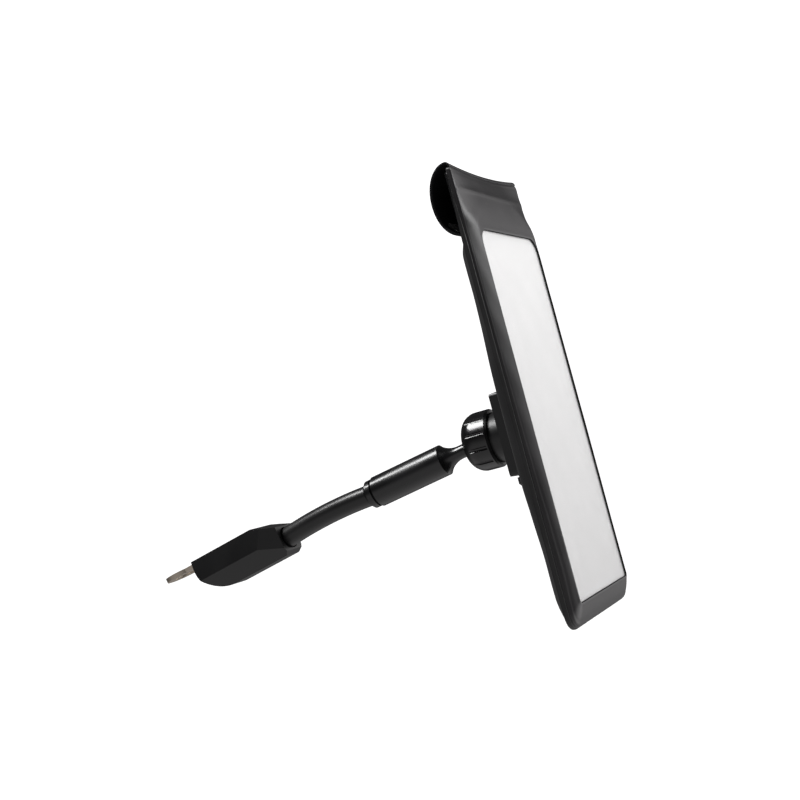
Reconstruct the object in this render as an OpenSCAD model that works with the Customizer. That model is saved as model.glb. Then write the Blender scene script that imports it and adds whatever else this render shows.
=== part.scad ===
// Scooter phone holder: a soft zip-free pouch on a ball head, carried by a bendable
// arm whose eyelet is clamped under a mirror stem. Millimetres.
// The origin is the centre of the mirror stem's hole. +X points from the hole towards
// the rider and out of the pouch's window, +Y across the pouch, +Z up along it.

/* [Mirror tab] */
// Diameter of the hole that the mirror stem passes through
stem_hole_d = 10.5; // [8.2:0.1:13]
// Metal left round the hole
ring_wall = 4.5; // [3:0.1:7]
// Thickness of the steel plate
tab_t = 2.2; // [1.5:0.1:3]
// Width of the plate behind its ring
tab_w = 15; // [10:0.5:18]
// Slope of the plate up towards the pouch, in degrees
tab_tilt = 12.2; // [4:0.1:20]
// Length of the plate that lies on the clamp block
tab_seat_len = 20; // [17:0.5:21]

/* [Boot cover] */
// Distance from the hole's centre to the boot
boot_start = 13.3; // [12.5:0.1:20]
// Length of the boot
boot_len = 51.5; // [46:0.5:60]
// Height of the boot
boot_h = 19.8; // [18.5:0.1:24]
// Width of the boot at its crease
boot_w = 25; // [22:0.5:30]
// Width of the boot's roof
boot_roof_w = 21.5; // [19:0.5:22]
// Width of the boot's floor
boot_floor_w = 13; // [9:0.5:19]
// Depth of the crease below the roof
boot_crease = 11; // [8:0.5:14]
// Thickness of the roof over the plate
boot_roof = 0.9; // [0.7:0.1:2]
// Radius of the boot's round lower end
boot_round = 16; // [8:0.5:17]
// Length over which the boot tapers to its mouth
boot_taper = 12.5; // [6:0.5:15]
// Drop of the roof at the mouth
boot_drop = 4.9; // [2:0.1:5]
// Width of the boot at its mouth
boot_mouth_w = 18; // [17:0.5:21]

/* [Clamp block] */
// Length of the block inside the boot
block_len = 22; // [20:0.5:24]
// Width of the block
block_w = 13.5; // [12:0.1:13.6]
// Depth of the block
block_h = 14.5; // [14:0.1:14.8]
// Diameter of the screws that hold the plate on the block
tab_screw_d = 4; // [3:0.1:4.5]
// Distance between those screws
tab_screw_pitch = 10; // [9:0.5:11]
// Diameter of the grub screw that grips the core
grub_d = 4; // [3:0.1:4.5]

/* [Bendable rod] */
// Outer diameter of the sheath
rod_d = 10.5; // [9:0.1:11]
// Diameter of the core wire
core_d = 5; // [4:0.1:5.2]
// Angle between the rod and the plate at the boot
rod_lift = 4.8; // [3.5:0.1:5]
// Radius of the long bend
bend_r = 235; // [200:5:600]
// Angle of the long bend
bend_angle = 11.4; // [6:0.1:14]
// Radius of the short bend back into the sleeve
back_bend_r = 120; // [80:5:200]
// Angle of the short bend
back_bend_angle = 3.8; // [1:0.1:6]
// Depth of the core in the block
core_in_block = 16; // [12:0.5:18]

/* [Sleeve] */
// Outer diameter of the sleeve
sleeve_d = 15.2; // [14:0.1:17]
// Length of the sleeve
sleeve_len = 39; // [34:0.5:50]
// Depth of the sheath in the sleeve
sheath_in_sleeve = 9; // [5:0.5:10]
// Depth of the core in the sleeve
core_in_sleeve = 20; // [14:0.5:22]
// Length of the cap on the sleeve's lower end
cap_len = 4.6; // [3:0.1:7]
// Diameter of the cap
cap_d = 14; // [13:0.1:15]
// Chamfer on the cap's outer end
cap_chamfer = 1.4; // [0.5:0.1:1.5]
// Width of the turned groove between cap and sleeve
groove_w = 0.6; // [0.3:0.1:1]

/* [Ball stud] */
// Diameter of the ball
ball_d = 17; // [15:0.1:17.4]
// Diameter of the neck
neck_d = 6.5; // [5:0.1:6.8]
// Length of the concave flare
flare_len = 9; // [7:0.1:12]
// Length of the straight neck, from the flare to the ball's centre
neck_len = 13.1; // [11.3:0.1:16]
// Diameter of the shank in the sleeve
shank_d = 8; // [7:0.1:10]
// Length of the shank
shank_len = 12; // [8:0.5:14]

/* [Ball socket] */
// Gap between the curved faces of ball, liners and socket
ball_gap = 0.3; // [0.25:0.01:0.4]
// Thickness of the liners
liner_t = 1.1; // [0.8:0.1:1.2]
// Outer diameter of the socket
socket_d = 23.6; // [23.2:0.1:24]
// Number of slots between the socket's fingers
finger_slots = 6; // [4:2:8]
// Width of those slots
slot_w = 1.2; // [0.8:0.1:2]
// Size of the square flange behind the mount plate
flange_w = 32; // [30:0.5:34]
// Thickness of that flange
flange_t = 2.6; // [2:0.1:3]

/* [Collar nut] */
// Outer diameter of the nut
nut_d = 28; // [27.6:0.1:31]
// Distance from the ball's centre to the nut's open end
nut_nose = 8.2; // [8:0.1:8.6]
// Distance from the ball's centre to the nut's back end
nut_back = 7; // [6:0.1:9]
// Number of broad ribs
rib_count = 12; // [8:1:16]
// Diameter of the groove between two ribs
rib_groove_d = 2; // [1:0.1:2.4]
// Radius of the nut's rounded end
nut_round = 7.6; // [6:0.1:8]

/* [Mount plate and bracket] */
// Side of the square mount plate
plate_w = 40; // [38:0.5:46]
// Thickness of the mount plate
plate_t = 7.5; // [7:0.1:9]
// Length of the socket's boss between nut and plate
boss_len = 8; // [4:0.1:10]
// Thickness of the plate's two hooked edges
edge_t = 3; // [2:0.1:3.5]
// Reach of those edges above and below the plate
edge_reach = 2; // [1.5:0.1:3]
// Width of those edges
edge_w = 30; // [24:0.5:32]
// Width of the bracket on the pouch
bracket_w = 60; // [56:0.5:66]
// Height of the bracket above the ball's axis
bracket_up = 35; // [34.5:0.5:38]
// Height of the bracket below the ball's axis
bracket_down = 41; // [34:0.5:45]
// Thickness of the bracket's floor
bracket_t = 4.1; // [3.5:0.1:6]
// Diameter of the screws that hold the bracket
bracket_screw_d = 3; // [2:0.1:4]

/* [Release latch] */
// Width of the latch's thumb pad
latch_w = 22; // [14:0.5:24]
// Length of the latch
latch_len = 10; // [8:0.1:10.4]
// Height of the thumb pad over the bracket
latch_h = 5.4; // [5:0.1:6.5]
// Travel of the latch
latch_travel = 3; // [2.5:0.1:3.5]

/* [Pouch] */
// Width of the pouch
pouch_w = 90; // [84:0.5:100]
// Distance from the window's centre down to the pouch's foot
pouch_down = 95.5; // [92:0.5:105]
// Distance from the window's centre up to the top fold
pouch_up = 112.5; // [108:0.5:125]
// Thickness of the pouch's sheets
sheet_t = 1; // [0.9:0.1:1.4]
// Height of the bevelled frame over the rim
frame_rise = 4.1; // [2:0.1:6]
// Depth of the rim where front and back meet
rim_depth = 2.2; // [1.5:0.1:4]
// Depth of the back below the rim
back_depth = 4.7; // [4:0.1:8]
// Width of the back's sloping sides
side_slope = 3.2; // [2:0.1:4]
// Height of the raised middle of the back
back_raise = 0.7; // [0.2:0.1:1]
// Radius of the pouch's lower corners
pouch_corner = 7; // [3:0.5:12]
// Reach of the welt outside the rim
welt_w = 0.8; // [0.5:0.1:2]
// Height of the welt
welt_h = 2.4; // [1.6:0.1:4]

/* [Window] */
// Width of the window opening
window_w = 77.6; // [70:0.1:80]
// Distance from the window's centre down to its lower edge
window_down = 85; // [80:0.5:87]
// Distance from the window's centre up to its upper edge
window_up = 83; // [78:0.5:84]
// Radius of the window's upper corners
window_corner = 8; // [4:0.5:12]
// Thickness of the clear film
film_t = 0.4; // [0.2:0.1:0.5]
// Width of the seam that holds the film
film_seam = 1; // [0.6:0.1:1.5]

/* [Inside the pouch] */
// Thickness of the stiffening board
board_t = 0.8; // [0.6:0.1:1.4]
// Gap between the stiffening board's edge and the pouch's back
board_gap = 4.5; // [0.5:0.1:6]
// Thickness of the lining
lining_t = 0.5; // [0.3:0.1:0.7]
// Width of the foam rest at the pocket's foot
rest_w = 64; // [50:0.5:66]
// Height of the foam rest
rest_h = 5; // [4.5:0.1:5]

/* [Closure flap] */
// Depth of the rolled flap behind the pouch
roll_depth = 11; // [8:0.1:16]
// Height of the rolled flap
roll_h = 33.4; // [26:0.1:44]
// Width of the hook and loop strips
tape_w = 76; // [40:1:84]
// Height of the loop strip
tape_h = 9; // [6:0.5:14]
// Thickness of the hook and loop strips
tape_t = 0.8; // [0.5:0.1:1]

/* [Hidden] */
fine = 96;
coarse = 32;
eps = 0.01;
fit_gap = 0.05;
loose_gap = 0.3;

// Arm, in the plane of symmetry. A point there is [x, 0, z] and a slope is in degrees.
function along(slope) = [cos(slope), 0, sin(slope)];
function across(slope) = [-sin(slope), 0, cos(slope)];
function on_tab(x, z) = x * along(tab_tilt) + z * across(tab_tilt);
boot_top = tab_t / 2 + boot_roof;
mouth_gap = 0.35;
mouth_side = 1.3;
mouth_chamfer = 1.9;
rod_slope = tab_tilt + rod_lift;
mouth_wall = 0.9;
mouth_top = boot_top - boot_drop - mouth_wall;
rod_start = on_tab(boot_start + boot_len, mouth_top - mouth_gap - rod_d / 2);
bend_centre = rod_start - bend_r * across(rod_slope);
mid_slope = rod_slope - bend_angle;
bend_end = bend_centre + bend_r * across(mid_slope);
back_centre = bend_end + back_bend_r * across(mid_slope);
sleeve_slope = mid_slope + back_bend_angle;
sleeve_start = back_centre - back_bend_r * across(sleeve_slope);
ball_s = sleeve_len + flare_len + neck_len;
ball_at = sleeve_start + ball_s * along(sleeve_slope);

// Clamp block, in the plate's own frame
block_x = boot_start + 9.5;
block_top = -tab_t / 2;
block_end = block_x + block_len;
tab_end = block_x + tab_seat_len;
rod_in_boot = boot_start + boot_len - block_end;

// Ball joint, measured from the ball's centre along the socket's axis
ball_r = ball_d / 2;
liner_in = ball_r + ball_gap;
liner_out = liner_in + liner_t;
cup_r = liner_out + ball_gap;
tip_x = -6.2;
tip_r = sqrt(cup_r * cup_r - tip_x * tip_x) + 1.6;
taper_x = -3;
nut_bore_r = socket_d / 2 + loose_gap;
throat_r = 7.5;
throat_wide = 9;
plate_x = nut_back + boss_len;
plate_back = plate_x + plate_t;
bracket_x = plate_back + bracket_t;

// Pouch, from the window's centre. The pouch's back meets the bracket.
frame_top = 0.8;
rim_front = frame_top - frame_rise;
rim_back = rim_front - rim_depth;
back_base = rim_back - back_depth;
back_out = back_base - back_raise;
pouch_z = 5.9;
window_at = ball_at + [bracket_x - back_out, 0, pouch_z];
half_w = pouch_w / 2 - welt_w;
foot = pouch_down - welt_w;
bevel_w = half_w - window_w / 2;
bevel_slope = atan2(frame_rise, bevel_w);
film_n = frame_top - sheet_t;

board_n = back_base + sheet_t;
lining_n = board_n + board_t;
pocket_n = lining_n + lining_t;
top_n = rim_front - 0.1;
fold_n = rim_back;
fold_rise = 2.3;
roll_mid = pouch_up + fold_rise - roll_h / 2;
join_z = roll_mid - roll_h / 2;
floor_up = join_z - 1;
roll_steps = 36;
wall_turn = acos(sheet_t / (roll_depth - sheet_t));
rod_sides = 48;
bend_steps = 10;
back_steps = 4;
fold_steps = 6;
tape_gap = 0.05;
tape_from = -62;
tape_to = -34;
tape_steps = 7;
loop_lift = 4;

module on_plate() rotate([0, -tab_tilt, 0]) children();
module on_sleeve() translate(sleeve_start) rotate([0, -sleeve_slope, 0]) children();
module on_ball() translate(ball_at) children();
module on_window() translate(window_at) children();
module along_x() rotate([0, 90, 0]) children();
// Turns a plan drawn in (x, z) so that its extrusion runs along Y, centred
module side_on(width) rotate([90, 0, 0]) translate([0, 0, -width / 2]) linear_extrude(width) children();
// Turns a section drawn in (y, z) so that its extrusion runs along X
module end_on(length) rotate([90, 0, 90]) linear_extrude(length) children();

// The rod's path is straight in the boot, runs down the long bend, then turns back up into the sleeve.
// Each station is [x, z, slope].
function station(p, slope) = [p[0], p[2], slope];
function rod_path(before, after) = concat(
    [station(rod_start - before * along(rod_slope), rod_slope)],
    [for (i = [0 : bend_steps]) let (s = rod_slope - i * bend_angle / bend_steps)
        station(bend_centre + bend_r * across(s), s)],
    [for (i = [1 : back_steps]) let (s = mid_slope + i * back_bend_angle / back_steps)
        station(back_centre - back_bend_r * across(s), s)],
    [station(sleeve_start + after * along(sleeve_slope), sleeve_slope)]);
function ring_point(at, r, turn) =
    [at[0] - r * sin(turn) * sin(at[2]), r * cos(turn), at[1] + r * sin(turn) * cos(at[2])];

module rod(d, before, after) {
    path = rod_path(before, after);
    last = len(path) - 1;
    n = rod_sides;
    polyhedron(
        points = [for (at = path) for (k = [0 : n - 1]) ring_point(at, d / 2, k * 360 / n)],
        faces = concat([[for (k = [0 : n - 1]) k]], [[for (k = [0 : n - 1]) last * n + n - 1 - k]],
            [for (i = [0 : last - 1]) for (k = [0 : n - 1])
                [i * n + k, (i + 1) * n + k, (i + 1) * n + (k + 1) % n]],
            [for (i = [0 : last - 1]) for (k = [0 : n - 1])
                [i * n + k, (i + 1) * n + (k + 1) % n, i * n + (k + 1) % n]]));
}

// Countersunk screw with the top of its head at the origin, pointing down -Z
module countersunk(d, length, gap) {
    head_h = d * 0.45;
    translate([0, 0, -length - gap]) cylinder(h = length + gap, d = d + 2 * gap, $fn = coarse);
    translate([0, 0, -head_h - gap])
        cylinder(h = head_h + gap, d1 = d + 2 * gap, d2 = 1.75 * d + 2 * gap, $fn = coarse);
}

module mirror_tab() color("silver") on_plate() difference() {
    translate([0, 0, -tab_t / 2]) linear_extrude(tab_t) union() {
        circle(d = stem_hole_d + 2 * ring_wall, $fn = fine);
        translate([0, -tab_w / 2]) square([tab_end, tab_w]);
    }
    cylinder(h = 4 * tab_t, d = stem_hole_d, center = true, $fn = fine);
    tab_screw_places() translate([0, 0, tab_t / 2 + eps]) countersunk(tab_screw_d, 2 * tab_t, fit_gap);
}

module tab_screw_places() {
    for (side = [-1, 1])
        translate([block_x + tab_seat_len / 2 + side * tab_screw_pitch / 2, 0, 0]) children();
}

screw_grip = 4;
module tab_screws() color("dimgray") on_plate() tab_screw_places()
    translate([0, 0, tab_t / 2]) countersunk(tab_screw_d, tab_t + screw_grip, 0);

// Blind bore for the core
module core_bore() translate(rod_start) rotate([0, -rod_slope, 0])
    translate([-rod_in_boot - core_in_block, 0, 0]) along_x()
        cylinder(h = rod_in_boot + core_in_block + 10, d = core_d + 2 * fit_gap, $fn = fine);

// Block under the plate, into which the core is driven
module clamp_block() color("gray") difference() {
    on_plate() translate([block_x, -block_w / 2, block_top - block_h])
        cube([block_len, block_w, block_h]);
    core_bore();
    on_plate() tab_screw_places() translate([0, 0, block_top - screw_grip - loose_gap])
        cylinder(h = screw_grip + 2, d = tab_screw_d + 2 * fit_gap, $fn = coarse);
    grub_place() cylinder(h = block_w, d = grub_d + 2 * fit_gap, $fn = coarse);
}

// The grub screw comes in from the side, on the core's axis
grub_from_end = 5;
module grub_place() translate(rod_start) rotate([0, -rod_slope, 0])
    translate([-rod_in_boot - grub_from_end, core_d / 2 + 2 * fit_gap, 0]) rotate([-90, 0, 0]) children();

module core_screw() color("dimgray") grub_place() difference() {
    grub_len = (block_w - core_d) / 2 - 0.5;
    cylinder(h = grub_len, d = grub_d, $fn = coarse);
    translate([0, 0, grub_len - 1.8]) cylinder(h = 2, d = grub_d / 2, $fn = 6);
}

module boot_side() difference() {
    union() {
        translate([boot_round, -boot_h]) square([boot_len - boot_round, boot_h]);
        translate([0, -boot_h + boot_round]) square([boot_round + eps, boot_h - boot_round]);
        translate([boot_round, -boot_h + boot_round]) circle(boot_round, $fn = fine);
    }
    polygon([[boot_len - boot_taper, 0], [boot_len + 1, -boot_drop * (boot_taper + 1) / boot_taper],
        [boot_len + 1, 1], [boot_len - boot_taper, 1]]);
    polygon([[boot_len, -boot_h + mouth_chamfer], [boot_len + 1, -boot_h + mouth_chamfer],
        [boot_len + 1, -boot_h - 1], [boot_len - mouth_chamfer, -boot_h - 1],
        [boot_len - mouth_chamfer, -boot_h]]);
}

module boot_plan() polygon([[0, -boot_w / 2], [boot_len - boot_taper, -boot_w / 2],
    [boot_len, -boot_mouth_w / 2], [boot_len, boot_mouth_w / 2], [boot_len - boot_taper, boot_w / 2],
    [0, boot_w / 2]]);

module boot_section() polygon([[-boot_roof_w / 2, 0], [boot_roof_w / 2, 0], [boot_w / 2, -boot_crease],
    [boot_floor_w / 2, -boot_h], [-boot_floor_w / 2, -boot_h], [-boot_w / 2, -boot_crease]]);

// Room inside the boot for the block and the plate
module boot_room() {
    room_gap = 0.1;
    translate([block_x - room_gap, -block_w / 2 - room_gap, block_top - block_h - room_gap])
        cube([block_len + 2 * room_gap, block_w + 2 * room_gap, block_h + room_gap + eps]);
    translate([boot_start - 1, -tab_w / 2 - room_gap, -tab_t / 2 - room_gap])
        cube([tab_end - boot_start + 1 + room_gap, tab_w + 2 * room_gap, tab_t + 2 * room_gap]);
}

// Loose room round the rod, wider than it is deep, from the block to past the mouth
module mouth_room() translate(rod_start) rotate([0, -rod_slope, 0]) translate([-rod_in_boot - 0.6, 0, 0])
    hull() for (side = [-1, 1])
        translate([0, side * mouth_side, 0]) along_x()
            cylinder(h = rod_in_boot + 4, d = rod_d + 2 * mouth_gap, $fn = coarse);

module boot_cover() color([0.06, 0.06, 0.065]) difference() {
    on_plate() translate([boot_start, 0, boot_top]) intersection() {
        side_on(boot_w + 2) boot_side();
        translate([0, 0, -boot_h - 1]) linear_extrude(boot_h + 2) boot_plan();
        end_on(boot_len) boot_section();
    }
    on_plate() boot_room();
    mouth_room();
}

module gooseneck_core() color("peru") rod(core_d, rod_in_boot + core_in_block - 0.5, core_in_sleeve);

module gooseneck_sheath() color([0.08, 0.08, 0.085]) difference() {
    rod(rod_d, rod_in_boot - 1, sheath_in_sleeve);
    rod(core_d + 2 * fit_gap, rod_in_boot + 5, sheath_in_sleeve + 5);
}

// Chamfered cap that closes the sleeve's lower end round the rod
cap_play = 0.4;
module sleeve_cap() color([0.12, 0.12, 0.125]) difference() {
    on_sleeve() along_x() rotate_extrude($fn = fine) polygon([[0, -cap_len],
        [cap_d / 2 - cap_chamfer, -cap_len], [cap_d / 2, -cap_len + cap_chamfer], [cap_d / 2, -groove_w],
        [cap_d / 2 - 0.9, -groove_w], [cap_d / 2 - 0.9, 0], [0, 0]]);
    on_sleeve() translate([-2 * cap_len, 0, 0]) along_x()
        cylinder(h = 3 * cap_len, d = rod_d + cap_play, $fn = fine);
}

module sleeve() color([0.1, 0.1, 0.105]) on_sleeve() along_x() difference() {
    rotate_extrude($fn = fine) difference() {
        square([sleeve_d / 2, sleeve_len]);
        polygon([[sleeve_d / 2 - 0.8, -eps], [sleeve_d / 2 + eps, 0.8], [sleeve_d / 2 + eps, -eps]]);
    }
    translate([0, 0, -eps]) cylinder(h = sheath_in_sleeve + 0.5, d = rod_d + 2 * fit_gap, $fn = fine);
    cylinder(h = core_in_sleeve + 0.5, d = core_d + 2 * fit_gap, $fn = fine);
    translate([0, 0, sleeve_len - shank_len - 0.5])
        cylinder(h = shank_len + 1, d = shank_d + 2 * fit_gap, $fn = fine);
}

// Turned stud: shank, concave flare, neck and ball
module ball_stud() color([0.09, 0.09, 0.095]) on_sleeve() along_x() {
    flare_h = (sleeve_d - neck_d) / 2 - 0.1;
    flare_r = (flare_len * flare_len + flare_h * flare_h) / (2 * flare_h);
    translate([0, 0, sleeve_len - shank_len]) cylinder(h = shank_len + 1, d = shank_d, $fn = fine);
    translate([0, 0, sleeve_len]) rotate_extrude($fn = fine) difference() {
        square([neck_d / 2 + flare_h, flare_len]);
        translate([neck_d / 2 + flare_r, flare_len]) circle(flare_r, $fn = 2 * fine);
    }
    translate([0, 0, sleeve_len + flare_len - 0.5]) cylinder(h = neck_len, d = neck_d, $fn = fine);
    translate([0, 0, ball_s]) sphere(d = ball_d, $fn = fine);
}

// Zone of a thick spherical shell about the socket's axis, between two angles from +X
module shell_zone(from, to) along_x() rotate_extrude($fn = fine) intersection() {
    difference() {
        circle(liner_out, $fn = fine);
        circle(liner_in, $fn = fine);
    }
    polygon([[0, 0], 20 * [sin(from), cos(from)], 24 * [sin((from + to) / 2), cos((from + to) / 2)],
        20 * [sin(to), cos(to)]]);
}

module ball_liner_rear() color("beige") on_ball() shell_zone(8, 50);

module ball_liner_front() color("beige") on_ball() shell_zone(78, 122);

// Outline of the nut: straight side, rounded open end, bevelled back end
module nut_outline() intersection() {
    translate([0, -nut_nose]) square([nut_d / 2, nut_nose + nut_back]);
    union() {
        translate([nut_d / 2 - nut_round, nut_round - nut_nose]) circle(nut_round, $fn = fine);
        translate([0, -nut_nose]) square([nut_d / 2 - nut_round, nut_nose + nut_back]);
        polygon([[0, nut_round - nut_nose], [nut_d / 2, nut_round - nut_nose], [nut_d / 2, nut_back - 1],
            [nut_d / 2 - 0.6, nut_back], [0, nut_back]]);
    }
}

// Collar nut: its inner taper squeezes the socket's fingers on the ball
module collar_nut() color([0.05, 0.05, 0.055]) on_ball() along_x() difference() {
    rotate_extrude($fn = fine) difference() {
        nut_outline();
        polygon([[0, -nut_nose - 1], [throat_wide, -nut_nose - 1], [throat_r, tip_x - loose_gap],
            [tip_r + loose_gap, tip_x - loose_gap], [nut_bore_r, taper_x], [nut_bore_r, nut_back + 1],
            [0, nut_back + 1]]);
    }
    for (i = [0 : rib_count - 1])
        rotate([0, 0, (i + 0.5) * 360 / rib_count]) translate([nut_d / 2 + 0.1, 0, -nut_nose - 1])
            cylinder(h = nut_nose + nut_back - 0.6, d = rib_groove_d, $fn = coarse);
}

// Moulded socket: split fingers round the ball, a plain boss, and a flange behind the plate
slot_end = 2;
module ball_socket() color([0.07, 0.07, 0.075]) on_ball() difference() {
    union() {
        along_x() rotate_extrude($fn = fine) difference() {
            polygon([[0, tip_x], [tip_r, tip_x], [socket_d / 2, taper_x], [socket_d / 2, plate_back - 0.2],
                [0, plate_back - 0.2]]);
            circle(cup_r, $fn = fine);
        }
        translate([plate_back - flange_t, -flange_w / 2, -flange_w / 2])
            cube([flange_t - 0.2, flange_w, flange_w]);
    }
    for (i = [0 : finger_slots / 2 - 1])
        rotate([i * 360 / finger_slots, 0, 0])
            translate([tip_x - 1, -slot_w / 2, -socket_d])
                cube([1 - tip_x + slot_end, slot_w, 2 * socket_d]);
    flange_screw_places() translate([plate_back - 2 * flange_t, 0, 0]) along_x()
        cylinder(h = 3 * flange_t, d = flange_screw_d + 2 * fit_gap, $fn = coarse);
    flange_screw_places() translate([plate_back - 1.3, 0, 0]) along_x()
        cylinder(h = 3, d = 1.8 * flange_screw_d + 2 * fit_gap, $fn = coarse);
}

flange_screw_d = 2.5;
module flange_screw_places() {
    pitch = flange_w / 2 - 2.6;
    for (y = [-pitch, pitch], z = [-pitch, pitch]) translate([0, y, z]) children();
}

module socket_screws() color("dimgray") on_ball() flange_screw_places() {
    translate([plate_x + 1.6, 0, 0]) along_x()
        cylinder(h = plate_t - 2.4, d = flange_screw_d, $fn = coarse);
    translate([plate_back - 1.2, 0, 0]) along_x()
        cylinder(h = 0.9, d = 1.8 * flange_screw_d, $fn = coarse);
}

// Square plate with a hooked edge above and below, flared a little towards the pouch
module mount_plate() color([0.2, 0.2, 0.21]) on_ball() difference() {
    union() {
        intersection() {
            translate([plate_x, 0, 0]) rounded_block(plate_t, plate_w, plate_w, 2.5);
            side_on(2 * plate_w) polygon([[plate_x, -plate_w / 2 + 0.8], [plate_back, -plate_w / 2],
                [plate_back, plate_w / 2], [plate_x, plate_w / 2 - 0.8]]);
        }
        translate([plate_back - edge_t, -edge_w / 2, -plate_w / 2 - edge_reach])
            cube([edge_t - 0.1, edge_w, plate_w + 2 * edge_reach]);
    }
    translate([plate_x - 1, 0, 0]) along_x()
        cylinder(h = plate_t + 2, d = socket_d + 2 * fit_gap, $fn = fine);
    translate([plate_back - flange_t, -flange_w / 2 - 0.1, -flange_w / 2 - 0.1])
        cube([flange_t + 1, flange_w + 0.2, flange_w + 0.2]);
    flange_screw_places() translate([plate_x + 1.5, 0, 0]) along_x()
        cylinder(h = plate_t, d = flange_screw_d + 2 * fit_gap, $fn = coarse);
}

// Block standing on X with rounded corners in the (y, z) plane
module rounded_block(t, w, h, r) end_on(t) union() {
    square([w - 2 * r, h], center = true);
    square([w, h - 2 * r], center = true);
    for (y = [-1, 1], z = [-1, 1]) translate([y * (w / 2 - r), z * (h / 2 - r)]) circle(r, $fn = coarse);
}

latch_z = plate_w / 2 + 0.3;
hook_gap = 0.3;
hook_t = 2;
tongue_t = 1.4;
tongue_w = 1.6;
guide_w = 3.6;
guide_t = 3.2;
guide_spare = 0.7;
guide_y = latch_w / 2 + hook_gap + guide_w / 2;
groove_y = latch_w / 2 + (tongue_w + hook_gap) / 2;
groove_open = tongue_w + hook_gap + 2 * eps;

// Moulded bracket on the pouch: sloping skirt, a lip over the plate's lower edge, guides for the latch
module base_bracket() color([0.16, 0.16, 0.17]) on_ball() difference() {
    union() {
        intersection() {
            side_on(bracket_w + 2) polygon([[bracket_x, -bracket_down], [bracket_x - 0.8, -bracket_down],
                [plate_back, -plate_w / 2 - 5], [plate_back, bracket_up - 1], [bracket_x - 0.8, bracket_up],
                [bracket_x, bracket_up]]);
            translate([plate_back, 0, (bracket_up - bracket_down) / 2])
                rounded_block(bracket_t, bracket_w, bracket_up + bracket_down, 10);
            translate([0, 0, -60]) linear_extrude(120) polygon([[plate_back, -bracket_w / 2 + 4],
                [bracket_x, -bracket_w / 2], [bracket_x, bracket_w / 2], [plate_back, bracket_w / 2 - 4]]);
        }
        side_on(edge_w + 4) polygon([[plate_back + 0.5, -plate_w / 2 - edge_reach - hook_gap - 2.6],
            [plate_back - edge_t - hook_gap - hook_t + 1, -plate_w / 2 - edge_reach - hook_gap - 2],
            [plate_back - edge_t - hook_gap - hook_t, -plate_w / 2 - edge_reach - hook_gap - 1],
            [plate_back - edge_t - hook_gap - hook_t, -plate_w / 2 - hook_gap],
            [plate_back - edge_t - hook_gap, -plate_w / 2 - hook_gap],
            [plate_back - edge_t - hook_gap, -plate_w / 2 - edge_reach - hook_gap],
            [plate_back + 0.5, -plate_w / 2 - edge_reach - hook_gap]]);
        for (side = [-1, 1])
            translate([plate_back - guide_t, side * guide_y - guide_w / 2, latch_z + edge_reach])
                cube([guide_t + 0.5, guide_w, latch_len + latch_travel + guide_spare - edge_reach]);
    }
    for (side = [-1, 1])
        translate([plate_back - tongue_t - hook_gap, side * groove_y - groove_open / 2, latch_z])
            cube([tongue_t + hook_gap, groove_open, bracket_up]);
    bracket_screw_places() translate([plate_back - 1, 0, 0]) along_x()
        cylinder(h = bracket_t + 3, d = bracket_screw_d + 2 * fit_gap, $fn = coarse);
    bracket_screw_places() translate([plate_back - eps, 0, 0]) along_x()
        cylinder(h = 1.6, d = bracket_screw_d * 1.9, $fn = coarse);
}

module bracket_screw_places() {
    pitch = plate_w / 2 - 6;
    for (y = [-pitch, pitch], z = [-pitch, pitch]) translate([0, y, z]) children();
}

// Screws from inside the bracket through the pouch's back into the board's inserts
module bracket_screws() color("dimgray") on_ball() bracket_screw_places() {
    reach = window_at[0] - ball_at[0] + lining_n - plate_back;
    translate([plate_back + 0.2, 0, 0]) along_x()
        cylinder(h = 1.2, d = bracket_screw_d * 1.8, $fn = coarse);
    translate([plate_back + 0.3, 0, 0]) along_x()
        cylinder(h = reach - 0.4, d = bracket_screw_d, $fn = coarse);
}

// Sliding latch: its lip holds the plate's upper edge until the thumb pad is pushed up
module release_latch() color([0.3, 0.3, 0.31]) on_ball() {
    lip_z = latch_z + edge_reach + hook_gap;
    side_on(latch_w) polygon([[plate_back - 0.1, lip_z], [plate_back - edge_t - hook_gap, lip_z],
        [plate_back - edge_t - hook_gap, latch_z], [plate_back - latch_h + 0.6, latch_z],
        [plate_back - latch_h, latch_z + 1], [plate_back - latch_h - 0.5, latch_z + 2.5],
        [plate_back - latch_h, latch_z + latch_len / 2], [plate_back - latch_h + 1.6, latch_z + latch_len],
        [plate_back - 0.1, latch_z + latch_len]]);
    translate([plate_back - tongue_t, -latch_w / 2 - tongue_w, lip_z])
        cube([tongue_t - 0.1, latch_w + 2 * tongue_w, latch_z + latch_len - lip_z]);
}

// Pouch profiles, drawn in (y, n) and (z, n) about the window's centre
module rounded_front(w, down, up, r, top_r) union() {
    translate([-w / 2 + r, -down]) square([w - 2 * r, r + eps]);
    translate([-w / 2, -down + r]) square([w, down + up - r - top_r]);
    translate([-w / 2 + top_r, up - top_r - eps]) square([w - 2 * top_r, top_r + eps]);
    for (side = [-1, 1]) {
        translate([side * (w / 2 - r), -down + r]) circle(r, $fn = coarse);
        translate([side * (w / 2 - top_r), up - top_r]) circle(top_r, $fn = coarse);
    }
}

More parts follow.
